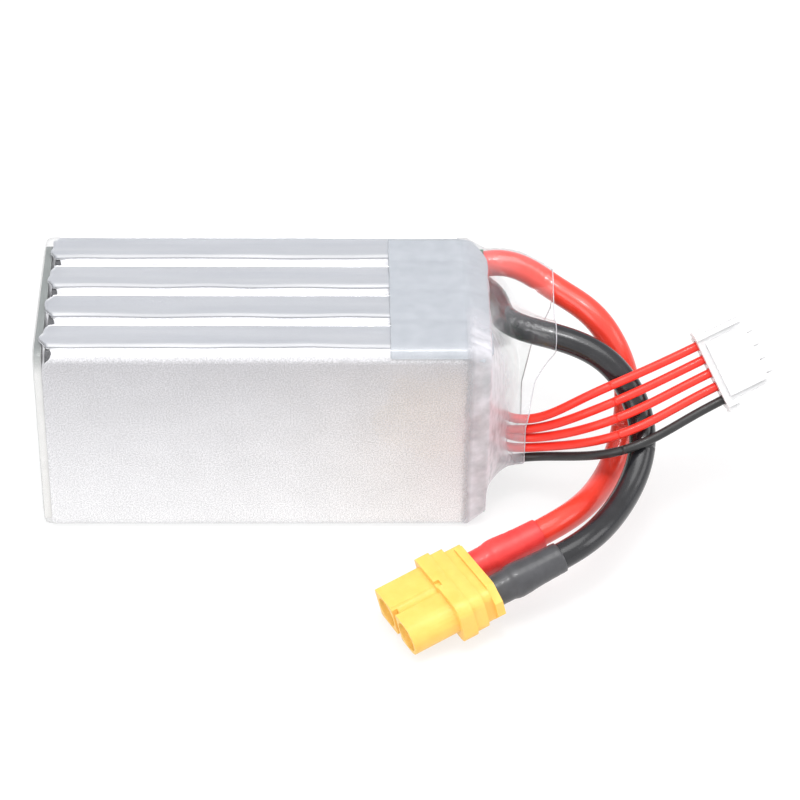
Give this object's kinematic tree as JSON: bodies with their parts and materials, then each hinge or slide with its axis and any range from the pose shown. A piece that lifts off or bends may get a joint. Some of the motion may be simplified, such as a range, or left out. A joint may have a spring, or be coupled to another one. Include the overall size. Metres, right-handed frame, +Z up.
{
  "type": "lipo battery pack",
  "caption": "Flat-celled lithium polymer pack in clear film, with flexible main leads to a power connector and a ribbon of balance wires to a plug.",
  "frame": {"origin": "centre of the pack's bottom face, on the outside of the clear film", "axes": "+X towards the lead end along the cells, +Z up along the cells' height, -Y towards the side where the power connector lies"},
  "size_m": [0.1241, 0.0675, 0.0378],
  "materials": {
    "pouch_foil": "frosted aluminium laminate with a fine sparkle",
    "electrode_stack": "dark graphite coated foil",
    "aluminium_tab": "bright rolled",
    "nickel_tab": "bright nickel",
    "tinned_copper": "fine tinned strands",
    "solder": "bright solder",
    "adhesive_pad": "white double-sided adhesive",
    "insulator_card": "matt fish paper",
    "circuit_board": "green solder mask",
    "end_board": "off-white epoxy board",
    "grey_tape": "matt blue-grey tape",
    "clear_film": "clear glossy shrink film",
    "black_sleeve": "satin heat-shrink",
    "red_sleeve": "satin heat-shrink",
    "connector_nylon": "satin moulded nylon",
    "gold_contact": "gold plated",
    "plug_nylon": "natural white nylon",
    "tinned_contact": "tin plated",
    "black_sense_wire": "satin silicone",
    "red_sense_wire": "satin silicone",
    "black_silicone": "glossy silicone",
    "red_silicone": "glossy silicone"
  },
  "bodies": {
    "pack": {"cell_1_pouch": "pouch_foil", "cell_2_pouch": "pouch_foil", "cell_3_pouch": "pouch_foil", "cell_4_pouch": "pouch_foil", "cell_1_electrode_stack": "electrode_stack", "cell_2_electrode_stack": "electrode_stack", "cell_3_electrode_stack": "electrode_stack", "cell_4_electrode_stack": "electrode_stack", "cell_1_positive_tab": "aluminium_tab", "cell_2_positive_tab": "aluminium_tab", "cell_3_positive_tab": "aluminium_tab", "cell_4_positive_tab": "aluminium_tab", "cell_1_negative_tab": "nickel_tab", "cell_2_negative_tab": "nickel_tab", "cell_3_negative_tab": "nickel_tab", "cell_4_negative_tab": "nickel_tab", "cell_adhesive_pads": "adhesive_pad", "board_insulator": "insulator_card", "tab_board": "circuit_board", "rear_end_board": "end_board", "terminal_tape": "grey_tape", "clear_shrink_wrap": "clear_film", "lead_solder_joints": "solder", "balance_solder_joints": "solder", "black_lead_root": "black_silicone", "red_lead_root": "red_silicone", "black_strands_root": "tinned_copper", "red_strands_root": "tinned_copper", "balance_wire_roots_red": "red_sense_wire", "balance_wire_root_black": "black_sense_wire", "balance_strands_root": "tinned_copper"},
    "main_lead_loop": {"black_lead": "black_silicone", "red_lead": "red_silicone", "black_strands": "tinned_copper", "red_strands": "tinned_copper"},
    "power_connector": {"power_connector_housing": "connector_nylon", "negative_socket": "gold_contact", "positive_socket": "gold_contact", "connector_solder": "solder", "black_lead_tail": "black_silicone", "red_lead_tail": "red_silicone", "black_strands_tail": "tinned_copper", "red_strands_tail": "tinned_copper", "black_solder_sleeve": "black_sleeve", "red_solder_sleeve": "red_sleeve"},
    "balance_lead": {"balance_wire_1": "red_sense_wire", "balance_wire_2": "red_sense_wire", "balance_wire_3": "red_sense_wire", "balance_wire_4": "red_sense_wire", "balance_wire_5": "black_sense_wire", "balance_strands": "tinned_copper"},
    "balance_plug": {"balance_plug_housing": "plug_nylon", "balance_contacts": "tinned_contact", "balance_wire_tails_red": "red_sense_wire", "balance_wire_tail_black": "black_sense_wire", "balance_strands_tail": "tinned_copper"}
  },
  "joints": [
    {"name": "main_lead_bend", "type": "hinge", "parent": "pack", "child": "main_lead_loop", "pos_m": [0.051, -0.0005, 0.0285], "axis": [0.018, 0.9881, 0.1527], "range_deg": [0, 22]},
    {"name": "power_connector_flex", "type": "hinge", "parent": "main_lead_loop", "child": "power_connector", "pos_m": [0.04989, -0.03142, 0.01021], "axis": [-0.4249, 0.9019, -0.0771], "range_deg": [0, 35]},
    {"name": "balance_lead_swing", "type": "hinge", "parent": "pack", "child": "balance_lead", "pos_m": [0.0448, -0.008, 0.0125], "axis": [0, 0, -1], "range_deg": [0, 45]},
    {"name": "balance_plug_flex", "type": "hinge", "parent": "balance_lead", "child": "balance_plug", "pos_m": [0.07438, -0.0068, 0.02488], "axis": [0.4396, -0.5611, -0.7014], "range_deg": [-40, 40]}
  ]
}
